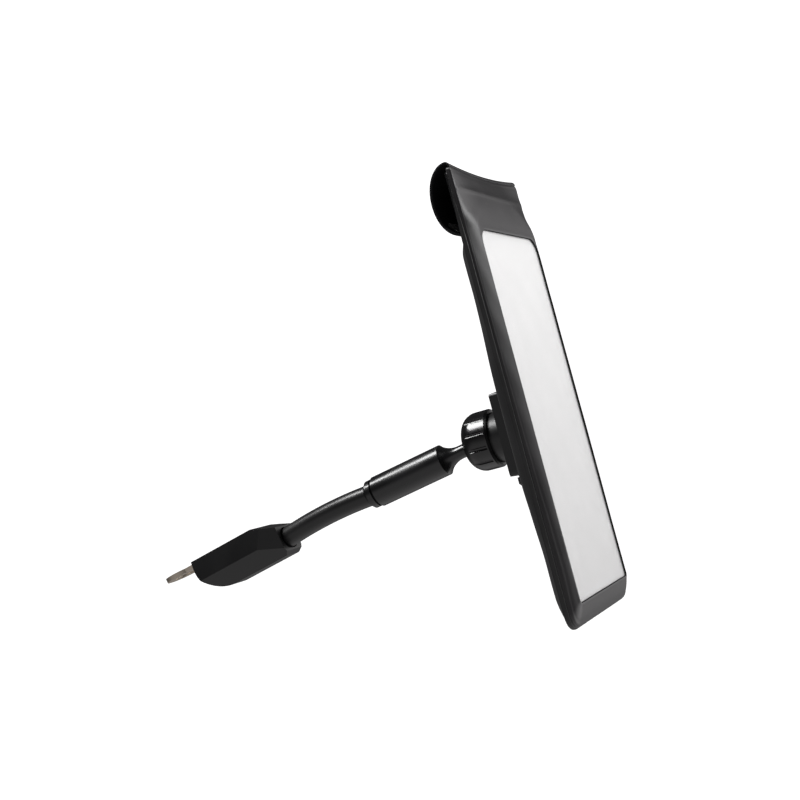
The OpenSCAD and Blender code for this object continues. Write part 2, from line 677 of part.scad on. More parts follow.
// Solid bounded by the frame's bevels: d is how far its faces lie inside the outer ones
module frame_body(d, bottom) {
    s = d / cos(bevel_slope);
    w = half_w - (d > 0 ? d : 0);
    low = foot - (d > 0 ? d : 0);
    intersection() {
        translate([0, 0, -foot - 1]) linear_extrude(foot + pouch_up + 2) polygon([
            [bottom, -w], [rim_front - s + (half_w - w) * tan(bevel_slope), -w],
            [frame_top - d, -window_w / 2 + d * 0.6], [frame_top - d, window_w / 2 - d * 0.6],
            [rim_front - s + (half_w - w) * tan(bevel_slope), w], [bottom, w]]);
        side_on(pouch_w + 2) polygon([[bottom, -low], [rim_front - d, -low],
            [frame_top - d, -window_down - 0.6 + d * 0.6], [frame_top - d, window_up + 1],
            [top_n - d, pouch_up], [bottom, pouch_up]]);
        translate([bottom, 0, 0]) end_on(frame_top - bottom)
            rounded_front(2 * w, low, pouch_up, pouch_corner - (d > 0 ? d : 0), 1.5);
    }
}

module window_outline(extra) rounded_front(window_w + 2 * extra, window_down + extra, window_up + extra,
    2 + extra, window_corner + extra);

// Front of the pouch: bevelled frame round the window and the plain panel above it
module front_frame() color([0.17, 0.16, 0.165]) on_window() difference() {
    frame_body(0, rim_back);
    frame_body(sheet_t, rim_back - 1);
    translate([-10, 0, 0]) end_on(20) window_outline(0);
    translate([film_n - film_t, 0, 0]) end_on(film_t) window_outline(film_seam);
}

module window_film() color([0.75, 0.75, 0.77, 0.4]) on_window()
    translate([film_n - film_t, 0, 0]) end_on(film_t) window_outline(film_seam - fit_gap);

// Shallow pillow that makes the pocket, and a raised seat for the bracket
floor_half = half_w - side_slope;
floor_down = window_down - 1.5;
module pillow(d) hull() {
    floor_r = 4 - 1.3 * d;
    translate([rim_back - 0.6 + d, 0, 0]) end_on(0.6)
        rounded_front(2 * (half_w - d), foot - d, join_z - d, pouch_corner - d, 2);
    translate([back_base + d, 0, 0]) end_on(0.5)
        rounded_front(2 * floor_half - 1.2 * d, floor_down - d, floor_up - d, floor_r, floor_r);
}

// Raised seat of the bracket, as wide as the bracket and with a sloping edge
module back_seat() hull() {
    seat_up = bracket_up - pouch_z;
    seat_down = bracket_down + pouch_z;
    translate([back_out, 0, 0]) end_on(back_raise)
        rounded_front(bracket_w + 2, seat_down + 1, seat_up + 1, 6, 6);
    translate([back_base, 0, 0]) end_on(0.5)
        rounded_front(bracket_w + 12, seat_down + 6, seat_up + 6, 8, 8);
}

module back_panel() color([0.09, 0.09, 0.095]) on_window() difference() {
    union() {
        pillow(0);
        back_seat();
    }
    pillow(sheet_t);
    translate([rim_back - 0.8, 0, 0]) end_on(2)
        rounded_front(2 * (half_w - sheet_t), foot - sheet_t, join_z - sheet_t, pouch_corner - sheet_t, 2);
    translate(ball_at - window_at) bracket_screw_places() translate([plate_back, 0, 0]) along_x()
        cylinder(h = 20, d = bracket_screw_d + 2 * fit_gap, $fn = coarse);
}

// Bead welded round the pouch's two sides and foot
welt_drop = 2;
module edge_welt() color([0.12, 0.12, 0.125]) on_window() difference() {
    translate([rim_back - welt_h / 2, 0, 0]) end_on(welt_h)
        rounded_front(pouch_w, pouch_down, pouch_up - welt_drop, pouch_corner + welt_w, 2);
    translate([rim_back - welt_h, 0, 0]) end_on(2 * welt_h)
        rounded_front(2 * half_w, foot, pouch_up, pouch_corner, 2);
}

lining_edge = rim_back - 0.1;
board_half = floor_half - sheet_t - board_gap;
board_down = floor_down - sheet_t - board_gap;
board_up = floor_up - sheet_t - board_gap;
module back_stiffener() color("dimgray") on_window() difference() {
    translate([board_n, 0, (board_up - board_down) / 2])
        rounded_block(board_t, 2 * board_half, board_up + board_down, 4);
    translate(ball_at - window_at) bracket_screw_places() along_x()
        cylinder(h = 60, d = bracket_screw_d + 2 * fit_gap, $fn = coarse);
}

// Light lining, formed to the pocket's flat floor and sloping sides
module pocket_lining() color([0.86, 0.85, 0.86]) on_window() intersection() {
    difference() {
        pillow(sheet_t + board_t);
        pillow(sheet_t + board_t + lining_t);
    }
    translate([back_base, -half_w, -foot]) cube([lining_edge - back_base, 2 * half_w, foot + pouch_up]);
}

// Foam rest at the pocket's foot, cut away where the lining slopes up
rest_gap = 0.25;
rest_front = film_n - film_t - 0.3;
rest_low = -window_down - 0.5;
rest_cut_n = 1.9;
rest_cut_z = rest_h - 0.8;
module foam_rest() color([0.92, 0.91, 0.92]) on_window() side_on(rest_w) polygon([
    [pocket_n + rest_gap, rest_low + rest_h], [rest_front, rest_low + rest_h], [rest_front, rest_low],
    [pocket_n + rest_gap + rest_cut_n, rest_low], [pocket_n + rest_gap, rest_low + rest_cut_z]]);

// Half ellipse of the rolled flap, and the quarter turn of the fold over the front panel,
// both in (n, z) at a distance d inside the outer face
function roll_point(d, a) = [fold_n - (roll_depth - d) * cos(a), roll_mid + (roll_h / 2 - d) * sin(a)];
function fold_point(d, a) = [fold_n + (top_n - fold_n - d) * cos(a), pouch_up + (fold_rise - d) * sin(a)];

// Closure flap: the back sheet runs up to the top fold, rolls over and comes down behind
module closure_flap() color([0.13, 0.13, 0.135]) on_window() side_on(2 * half_w) difference() {
    polygon(concat(
        [for (i = [0 : roll_steps]) roll_point(0, -90 + i * 180 / roll_steps)],
        [for (i = [1 : fold_steps]) fold_point(0, 90 - i * 90 / fold_steps)],
        [for (i = [0 : fold_steps]) fold_point(sheet_t, i * 90 / fold_steps)]));
    polygon([for (i = [0 : roll_steps]) roll_point(sheet_t, -wall_turn + i * 2 * wall_turn / roll_steps)]);
}

// Strips that hold the rolled flap: hooks on its curve, loops on its inner wall
function tape_angle(i) = tape_from + i * (tape_to - tape_from) / tape_steps;
module hook_strip() color([0.25, 0.25, 0.25]) on_window() side_on(tape_w) polygon(concat(
    [for (i = [0 : tape_steps]) roll_point(sheet_t + tape_gap, tape_angle(i))],
    [for (i = [tape_steps : -1 : 0]) roll_point(sheet_t + tape_gap + tape_t, tape_angle(i))]));

module loop_strip() color([0.22, 0.22, 0.22]) on_window()
    translate([fold_n - sheet_t - tape_t, -tape_w / 2, join_z + loop_lift])
        cube([tape_t, tape_w, tape_h]);

mirror_tab();
tab_screws();
clamp_block();
core_screw();
boot_cover();
gooseneck_core();
gooseneck_sheath();
sleeve_cap();
sleeve();
ball_stud();
ball_liner_rear();
ball_liner_front();
collar_nut();
ball_socket();
socket_screws();
mount_plate();
base_bracket();
bracket_screws();
release_latch();
back_stiffener();
pocket_lining();
back_panel();
edge_welt();
front_frame();
window_film();
foam_rest();
closure_flap();
hook_strip();
loop_strip();
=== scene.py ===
"""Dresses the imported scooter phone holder: soft pouch, hose, finishes, stage and camera."""

from __future__ import annotations

import logging
import math
from dataclasses import dataclass
from enum import Enum

import bmesh
import bpy
import numpy as np
from mathutils import Matrix, Vector


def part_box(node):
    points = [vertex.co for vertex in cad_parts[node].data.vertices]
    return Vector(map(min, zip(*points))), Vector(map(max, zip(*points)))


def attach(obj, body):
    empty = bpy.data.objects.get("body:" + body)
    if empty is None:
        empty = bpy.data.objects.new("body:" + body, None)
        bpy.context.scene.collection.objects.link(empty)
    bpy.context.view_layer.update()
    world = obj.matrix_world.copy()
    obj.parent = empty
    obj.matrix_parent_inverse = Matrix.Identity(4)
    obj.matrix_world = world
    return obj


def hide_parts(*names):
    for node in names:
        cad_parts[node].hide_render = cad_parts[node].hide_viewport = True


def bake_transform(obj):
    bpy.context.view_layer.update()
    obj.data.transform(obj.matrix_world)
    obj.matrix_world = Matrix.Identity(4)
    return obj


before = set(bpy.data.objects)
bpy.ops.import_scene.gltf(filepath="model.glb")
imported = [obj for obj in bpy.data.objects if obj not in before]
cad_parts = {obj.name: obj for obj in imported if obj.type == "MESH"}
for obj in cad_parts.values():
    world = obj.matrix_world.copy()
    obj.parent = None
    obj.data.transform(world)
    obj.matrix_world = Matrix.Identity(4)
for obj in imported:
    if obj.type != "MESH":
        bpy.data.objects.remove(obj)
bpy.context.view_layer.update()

LOG = logging.getLogger("phone_holder")
# A millimetre in metres, and the distance in millimetres under which two points are one
MM = 0.001
SAME_POINT = 0.0001
# Points on the foot or top of an outline, on each of its sides and on each of its corners
FOOT_POINTS, SIDE_POINTS, CORNER_POINTS = 72, 150, 14
# Short names for types
Array = np.ndarray
Triple = tuple[float, float, float]
Material = bpy.types.Material
Tree = bpy.types.NodeTree
Socket = bpy.types.NodeSocket
Thing = bpy.types.Object


# Colours and nodes


def linear(code: str) -> tuple[float, float, float, float]:
    """Turns an sRGB hex colour to the linear values that shaders use.

    Args:
        code: the colour, such as "#1a1a1b".

    Returns:
        Red, green, blue and an alpha of 1.
    """
    parts = np.array([int(code[i : i + 2], 16) for i in (1, 3, 5)]) / 255
    low, high = parts / 12.92, ((parts + 0.055) / 1.055) ** 2.4
    return (*np.where(parts <= 0.04045, low, high).tolist(), 1.0)


def add_node(
    tree: Tree, kind: str, settings: dict | None = None, feeds: dict | None = None
) -> bpy.types.Node:
    """Adds one node, sets its properties and fills or links its inputs.

    Args:
        tree: the node tree.
        kind: the node's type name, after ShaderNode.
        settings: property name to value.
        feeds: input name or index to a value, or to the output socket that feeds it.

    Returns:
        The new node.
    """
    node = tree.nodes.new("ShaderNode" + kind)
    for key, value in (settings or {}).items():
        setattr(node, key, value)
    for key, value in (feeds or {}).items():
        if isinstance(value, Socket):
            tree.links.new(value, node.inputs[key])
        else:
            node.inputs[key].default_value = value
    return node


def combine(tree: Tree, operation: str, first: Socket, second: Socket | float) -> Socket:
    """Adds a node that combines two numbers by the named operation, and gives its output."""
    return add_node(tree, "Math", {"operation": operation}, {0: first, 1: second}).outputs[0]


def blank_material(name: str) -> Material:
    """Makes a material with an empty node tree."""
    made = bpy.data.materials.new(name)
    made.use_nodes = True
    made.node_tree.nodes.clear()
    return made


class Grain(Enum):
    """How a surface was made, which decides the pattern of its relief."""

    CALENDERED = "coated cloth pressed between rollers"
    SPARK = "moulded in a spark-eroded tool"
    TURNED = "turned on a lathe"
    BRUSHED = "brushed along its length"
    CAST = "die-cast and tumbled"
    KNIT = "warp-knitted"
    CELLULAR = "foamed with closed cells"
    PILE = "woven with a pile of hooks or loops"
    POLISHED = "moulded in a polished tool"


@dataclass(frozen=True)
class Finish:
    """One material: what it is made of, its colours, its gloss and its relief.

    The relief's scale is a real size in millimetres.
    """

    name: str
    colour: str
    second: str
    roughness: float
    grain: Grain
    grain_mm: float
    relief_mm: float
    metallic: float = 0.0
    ior: float = 1.5
    coat: float = 0.0
    coat_roughness: float = 0.08
    sheen: float = 0.0
    uneven: float = 0.06
    patch_mm: float = 22.0
    axis_turn: float = 0.0

    def stretch(self) -> Triple:
        """Scales the pattern: fine across a turned or brushed surface, and drawn out along its lines.

        Returns:
            How often the pattern repeats in a millimetre along each axis of the piece.
        """
        fine = 1 / self.grain_mm
        if self.grain is Grain.TURNED:
            return fine, fine / 40, fine / 40
        if self.grain is Grain.BRUSHED:
            return fine / 45, fine, fine
        return fine, fine, fine

    def relief(self, tree: Tree, place: Socket) -> Socket:
        """Draws the height pattern of the grain.

        Args:
            tree: the material's node tree.
            place: the piece's own coordinates, in metres.

        Returns:
            The socket that carries the height, from 0 to 1.
        """
        turned = add_node(tree, "Mapping", {"vector_type": "TEXTURE"}, {
            "Vector": place, "Rotation": (0.0, math.radians(self.axis_turn), 0.0)})
        scaled = add_node(tree, "Mapping", None, {
            "Vector": turned.outputs[0], "Scale": tuple(s / MM for s in self.stretch())})
        spot = scaled.outputs[0]
        if self.grain in (Grain.CALENDERED, Grain.CELLULAR):
            cells = add_node(tree, "TexVoronoi", {"feature": "SMOOTH_F1"}, {
                "Vector": spot, "Scale": 1.0, "Smoothness": 0.6})
            return cells.outputs["Distance"]
        if self.grain in (Grain.KNIT, Grain.PILE):
            across = add_node(tree, "TexWave", {"bands_direction": "Y"}, {
                "Vector": spot, "Scale": 0.31, "Distortion": 1.2, "Detail": 1.0})
            along = add_node(tree, "TexWave", {"bands_direction": "Z"}, {
                "Vector": spot, "Scale": 0.31, "Distortion": 1.2, "Detail": 1.0})
            return combine(tree, "MULTIPLY", across.outputs["Fac"], along.outputs["Fac"])
        noise = add_node(tree, "TexNoise", None, {
            "Vector": spot, "Scale": 1.0, "Detail": 3.0, "Roughness": 0.6})
        return noise.outputs["Fac"]

    def build(self) -> Material:
        """Builds the material.

        Returns:
            A material with an uneven colour and gloss and the grain's relief.
        """
        made = blank_material(self.name)
        tree = made.node_tree
        place = add_node(tree, "TexCoord").outputs["Object"]
        patches = add_node(tree, "TexNoise", None, {
            "Vector": place, "Scale": 1 / (self.patch_mm * MM), "Detail": 4.0}).outputs["Fac"]
        height = self.relief(tree, place)
        blend = add_node(tree, "MapRange", None, {
            "Value": patches, "From Min": 0.3, "From Max": 0.7})
        colour = add_node(tree, "Mix", {"data_type": "RGBA"}, {
            0: blend.outputs[0], 6: linear(self.colour), 7: linear(self.second)})
        gloss = add_node(tree, "MapRange", None, {
            "Value": patches, "From Min": 0.25, "From Max": 0.75,
            "To Min": max(self.roughness - self.uneven, 0.02), "To Max": self.roughness + self.uneven})
        bump = add_node(tree, "Bump", None, {
            "Height": height, "Distance": self.relief_mm * MM, "Strength": 1.0})
        shader = add_node(tree, "BsdfPrincipled", None, {
            "Base Color": colour.outputs[2], "Roughness": gloss.outputs[0], "Normal": bump.outputs[0],
            "Metallic": self.metallic, "Coat Weight": self.coat,
            "Coat Roughness": self.coat_roughness, "Sheen Weight": self.sheen})
        if self.metallic < 1:
            shader.inputs["IOR"].default_value = self.ior
        add_node(tree, "OutputMaterial", None, {"Surface": shader.outputs[0]})
        return made


@dataclass(frozen=True)
class ClearFilm:
    """Clear polyurethane film, which the eye sees by its reflections and a slight haze."""

    name: str = "clear_film"
    tint: str = "#f6f6f6"
    roughness: float = 0.13
    ior: float = 1.48
    haze: float = 0.05
    waves_per_metre: float = 24.0
    wave_mm: float = 0.12

    def build(self) -> Material:
        """Builds the film: light passes straight through, apart from haze and reflections.

        Returns:
            The material.
        """
        made = blank_material(self.name)
        tree = made.node_tree
        place = add_node(tree, "TexCoord").outputs["Object"]
        waves = add_node(tree, "TexNoise", None, {
            "Vector": place, "Scale": self.waves_per_metre, "Detail": 0.0})
        bump = add_node(tree, "Bump", None, {
            "Height": waves.outputs["Fac"], "Distance": self.wave_mm * MM, "Strength": 1.0})
        clear = add_node(tree, "BsdfTransparent", None, {"Color": linear(self.tint)})
        gloss = add_node(tree, "BsdfPrincipled", None, {
            "Base Color": linear(self.tint), "Roughness": self.roughness, "IOR": self.ior,
            "Normal": bump.outputs[0]})
        edge = add_node(tree, "Fresnel", None, {"IOR": self.ior, "Normal": bump.outputs[0]})
        share = add_node(tree, "Math", {"operation": "ADD", "use_clamp": True}, {
            0: edge.outputs[0], 1: self.haze})
        both = add_node(tree, "MixShader", None, {
            0: share.outputs[0], 1: clear.outputs[0], 2: gloss.outputs[0]})
        add_node(tree, "OutputMaterial", None, {"Surface": both.outputs[0]})
        return made


# Finishes, each named for what the real one is

# Laser-cut stainless steel, tumbled: warm grey metal with fine lengthwise lines
TAB_STEEL = Finish(
    "stainless_steel", "#eadfd0", "#cdc1b2", 0.36, Grain.BRUSHED, 0.2, 0.004,
    metallic=1.0, axis_turn=-12.2)
# Blackened machine screws
SCREW_STEEL = Finish(
    "blackened_steel", "#4a4a4c", "#2e2e30", 0.34, Grain.TURNED, 0.25, 0.003, metallic=1.0)
# Die-cast zinc: soft grey, grainy
BLOCK_ZINC = Finish("cast_zinc", "#8b8b8d", "#727274", 0.5, Grain.CAST, 0.5, 0.02, metallic=1.0)
# Injection-moulded polypropylene: deep black, low gloss
BOOT_MOULDING = Finish(
    "moulded_polypropylene", "#0c0c0d", "#111112", 0.34, Grain.SPARK, 0.5, 0.004, uneven=0.04)
# Soft annealed aluminium wire
CORE_WIRE = Finish(
    "annealed_aluminium", "#b9babc", "#a2a3a6", 0.4, Grain.BRUSHED, 0.2, 0.01, metallic=1.0)
# Extruded rubber hose: black with a satin bloom
HOSE_RUBBER = Finish("extruded_rubber", "#101011", "#171718", 0.32, Grain.SPARK, 0.6, 0.004, sheen=0.03)
# Black anodised aluminium, turned: a broad soft highlight with fine rings
SLEEVE_ANODISED = Finish(
    "black_anodised_aluminium", "#0b0b0c", "#111113", 0.27, Grain.TURNED, 0.6, 0.001,
    ior=1.55, coat=0.1, coat_roughness=0.2, axis_turn=-9.4)
# Acetal liner: ivory, waxy
LINER_ACETAL = Finish("acetal", "#d8d4c6", "#cfcab9", 0.35, Grain.POLISHED, 0.6, 0.004)
# ABS in a polished tool: glossy black
NUT_ABS = Finish(
    "polished_abs", "#060607", "#0a0a0b", 0.2, Grain.POLISHED, 3.0, 0.006,
    coat=0.12, ior=1.54, uneven=0.03)
# Glass-filled nylon: black with a fine eroded grain
MOUNT_NYLON = Finish("glass_filled_nylon", "#0d0d0e", "#151516", 0.36, Grain.SPARK, 0.5, 0.005)
# Acetal copolymer latch: a shade lighter and glossier than the plate
LATCH_PLASTIC = Finish("acetal_copolymer", "#1c1c1e", "#242426", 0.24, Grain.SPARK, 0.6, 0.004)
# Extruded polyethylene board: dark grey, waxy
BOARD_PLASTIC = Finish("polyethylene_board", "#2a2a2b", "#303031", 0.5, Grain.SPARK, 0.6, 0.01)
# Polyurethane-coated cloth, calendered: smooth dark sheet with a soft gloss
FRONT_SHEET = Finish(
    "coated_cloth_front", "#171618", "#1e1c1e", 0.34, Grain.CALENDERED, 0.9, 0.008,
    sheen=0.05, patch_mm=30.0)
# The same cloth on the back, a little duller
BACK_SHEET = Finish(
    "coated_cloth_back", "#0f0f10", "#161617", 0.42, Grain.CALENDERED, 0.9, 0.02, sheen=0.06)
# Knitted backing on the inside of the coated cloth: dull and deep black
CLOTH_BACKING = Finish("knitted_backing", "#08080a", "#0c0c0e", 0.95, Grain.KNIT, 0.8, 0.1, ior=1.3)
# Welded edge binding, pressed matt by the welding bar
WELT_BINDING = Finish("welded_binding", "#121213", "#19191a", 0.42, Grain.CALENDERED, 0.8, 0.01)
# Warp-knitted polyester lining: pale grey with a fine rib, drawn about twice as coarse as the real one
# so that it shows
LINING_KNIT = Finish("warp_knit_lining", "#d2d0d0", "#c8c6c6", 0.85, Grain.KNIT, 1.4, 0.12, sheen=0.2)
# Closed-cell foam: off-white, dull
REST_FOAM = Finish("closed_cell_foam", "#e4e2e5", "#d9d7da", 0.8, Grain.CELLULAR, 0.7, 0.08)
# Hook and loop tape: dull dark pile, with its rows drawn a little coarser than the real ones so that
# they show
TAPE_PILE = Finish("hook_and_loop_tape", "#2b2a2c", "#39383a", 0.9, Grain.PILE, 1.1, 0.35, sheen=0.4)
WINDOW_FILM = ClearFilm()


@dataclass
class Palette:
    """Builds each material once and gives it out."""

    made: dict[str, Material]

    def of(self, finish: Finish | ClearFilm) -> Material:
        """Gives the material of a finish, building it on first use."""
        if finish.name not in self.made:
            self.made[finish.name] = finish.build()
        return self.made[finish.name]


# Surfaces worked out as whole arrays, in millimetres


def soft_step(x: Array) -> Array:
    """A step that rises from 0 to 1 as x does: three x squared less two x cubed, held outside."""
    x = np.clip(x, 0.0, 1.0)
    return x * x * (3 - 2 * x)


def quarter(x: Array) -> Array:
    """A rise that starts steeply and ends flat: the sine of x quarter turns, held outside 0 to 1."""
    return np.sin(np.clip(x, 0.0, 1.0) * np.pi / 2)


def ripple(u: Array, v: Array, size: float, phase: float) -> Array:
    """Gentle unevenness of a soft sheet.

    Three sine waves in different directions and of nearby lengths are added, so no repeat shows.

    Args:
        u: first coordinate, in millimetres.
        v: second coordinate, in millimetres.
        size: length of the longest wave, in millimetres.
        phase: shift that makes one sheet differ from another.

    Returns:
        Heights from about -1 to 1.
    """
    k = 2 * np.pi / size
    return (
        np.sin(k * (u + 0.35 * v) + phase)
        + np.sin(1.63 * k * (0.42 * u - v) + 2.1 * phase)
        + 0.6 * np.sin(2.71 * k * (0.9 * u + 0.7 * v) + 0.7 * phase)
    ) / 2.6


def bell(x: Array, middle: float, width: float) -> Array:
    """A bell of height 1: e to minus the square of how many widths x is from the middle."""
    return np.exp(-(((x - middle) / width) ** 2))


def superellipse(turns: Array, power: float) -> Array:
    """Cosines or sines raised to a power with their sign kept. Below 1 it squares off a circle."""
    return np.sign(turns) * np.abs(turns) ** power


def surface(name: str, grid: Array, around_columns: bool = False, flip: bool = False) -> Thing:
    """Makes a mesh from a grid of points by joining each point to its neighbours in both directions.

    Points that coincide, such as a ring shrunk to a tube's end, become one.

    Args:
        name: the piece's name.
        grid: rows by columns by 3, in millimetres, in the row frame.
        around_columns: whether the last column joins the first.
        flip: whether the faces are turned over.

    Returns:
        The new object, at the origin.
    """
    rows, columns = grid.shape[:2]
    i = np.arange(rows - 1)[:, None]
    j = np.arange(columns if around_columns else columns - 1)[None, :]
    ni, nj = i + 1, (j + 1) % columns
    corners = [i * columns + j, ni * columns + j, ni * columns + nj, i * columns + nj]
    faces = np.stack([np.broadcast_to(c, (i.size, j.size)).ravel() for c in corners], axis=1)
    mesh = bpy.data.meshes.new(name)
    faces = faces[:, ::-1] if flip else faces
    mesh.from_pydata((grid.reshape(-1, 3) * MM).tolist(), [], faces.tolist())
    mesh.polygons.foreach_set("use_smooth", np.ones(len(mesh.polygons), bool))
    shell = bmesh.new()
    shell.from_mesh(mesh)
    bmesh.ops.remove_doubles(shell, verts=shell.verts, dist=SAME_POINT * MM)
    shell.to_mesh(mesh)
    shell.free()
    made = bpy.data.objects.new(name, mesh)
    bpy.context.scene.collection.objects.link(made)
    return made


def close_ends(grid: Array) -> Array:
    """Closes a tube: a ring shrunk to its own centre is added at both ends of its grid.

    Args:
        grid: rings by points by 3.

    Returns:
        The same with two more rings.
    """
    first = np.broadcast_to(grid[0].mean(axis=0), grid[0].shape)
    last = np.broadcast_to(grid[-1].mean(axis=0), grid[-1].shape)
    return np.concatenate([first[None], grid, last[None]])


def rounded_loop(half: float, down: float, up: float, low_r: float, top_r: float) -> Array:
    """Outline of a rectangle with rounded corners, anticlockwise from the foot's left end.

    Straight runs are even steps between the corners, and each corner is a quarter of a circle.

    Args:
        half: half the width.
        down: reach below the middle.
        up: reach above the middle.
        low_r: radius of the lower corners.
        top_r: radius of the upper corners.

    Returns:
        Points by 2, as (u, v).
    """

    def run(a: tuple, b: tuple, n: int) -> Array:
        """Even steps from a to just before b."""
        t = np.linspace(0, 1, n, endpoint=False)[:, None]
        return np.array(a) * (1 - t) + np.array(b) * t

    def turn(centre: tuple, r: float, start: float) -> Array:
        """A quarter circle of radius r from the angle start, in degrees."""
        a = np.radians(start + np.linspace(0, 90, CORNER_POINTS, endpoint=False))
        return np.array(centre) + r * np.stack([np.cos(a), np.sin(a)], axis=1)

    low, top = half - low_r, half - top_r
    low_v, top_v = low_r - down, up - top_r
    return np.concatenate([
        run((-low, -down), (low, -down), FOOT_POINTS), turn((low, low_v), low_r, -90),
        run((half, low_v), (half, top_v), SIDE_POINTS), turn((top, top_v), top_r, 0),
        run((top, up), (-top, up), FOOT_POINTS), turn((-top, top_v), top_r, 90),
        run((-half, top_v), (-half, low_v), SIDE_POINTS), turn((-low, low_v), low_r, 180)])


def add_modifier(piece: Thing, kind: str, **settings: object) -> None:
    """Adds a modifier to a piece and sets its properties."""
    made = piece.modifiers.new(kind.title(), kind)
    for key, value in settings.items():
        setattr(made, key, value)


def thicken(
    piece: Thing, thickness: float, offset: float = -1.0, edge: float = 0.0, backed: bool = False
) -> None:
    """Gives a sheet its thickness and rounds its cut edges.

    Args:
        piece: the sheet.
        thickness: in millimetres.
        offset: -1 to grow inwards, 1 outwards, 0 both ways.
        edge: radius on the cut edges, in millimetres, or 0 for none.
        backed: whether the inner face has the piece's second material.
    """
    add_modifier(piece, "SOLIDIFY", thickness=thickness * MM, offset=offset, use_even_offset=True,
                 material_offset=int(backed), material_offset_rim=int(backed))
    if edge:
        add_modifier(piece, "BEVEL", width=edge * MM, segments=2, limit_method="ANGLE",
                     angle_limit=math.radians(50), harden_normals=True)


@dataclass
class Assembly:
    """A group of pieces that share a palette."""

    palette: Palette

    def dress_nodes(self, finish: Finish, *names: str, edge: float = 0.0) -> None:
        """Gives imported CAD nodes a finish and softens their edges.

        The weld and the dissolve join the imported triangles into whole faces, so that the bevel meets
        real edges.

        Args:
            finish: the finish.
            names: the nodes' names.
            edge: width of the softened edges, in millimetres, or 0 for none.
        """
        for name in names:
            node = bpy.data.objects[name]
            if edge:
                add_modifier(node, "WELD", merge_threshold=0.002 * MM)
                add_modifier(node, "DECIMATE", decimate_type="DISSOLVE", angle_limit=math.radians(0.5))
                add_modifier(node, "BEVEL", width=edge * MM, segments=3, limit_method="ANGLE",
                             angle_limit=math.radians(28), harden_normals=True, use_clamp_overlap=True)
            node.data.materials.clear()
            node.data.materials.append(self.palette.of(finish))
            LOG.info("node %s: %s", name, finish.name)

    def dress(
        self, piece: Thing, finish: Finish | ClearFilm, body: str | None, slot: str, node: str
    ) -> None:
        """Finishes a new piece and ties it to its body.

        Args:
            piece: the piece.
            finish: its finish.
            body: the CAD body it rides on, or None if it is blended.
            slot: the record's material slot; not used.
            node: the CAD node that it replaces.
        """
        piece.data.materials.append(self.palette.of(finish))
        if any(m.type == "SOLIDIFY" and m.material_offset for m in piece.modifiers):
            piece.data.materials.append(self.palette.of(CLOTH_BACKING))
        if body:
            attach(piece, body)
        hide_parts(node)
        LOG.info("piece %s: %s", piece.name, finish.name)


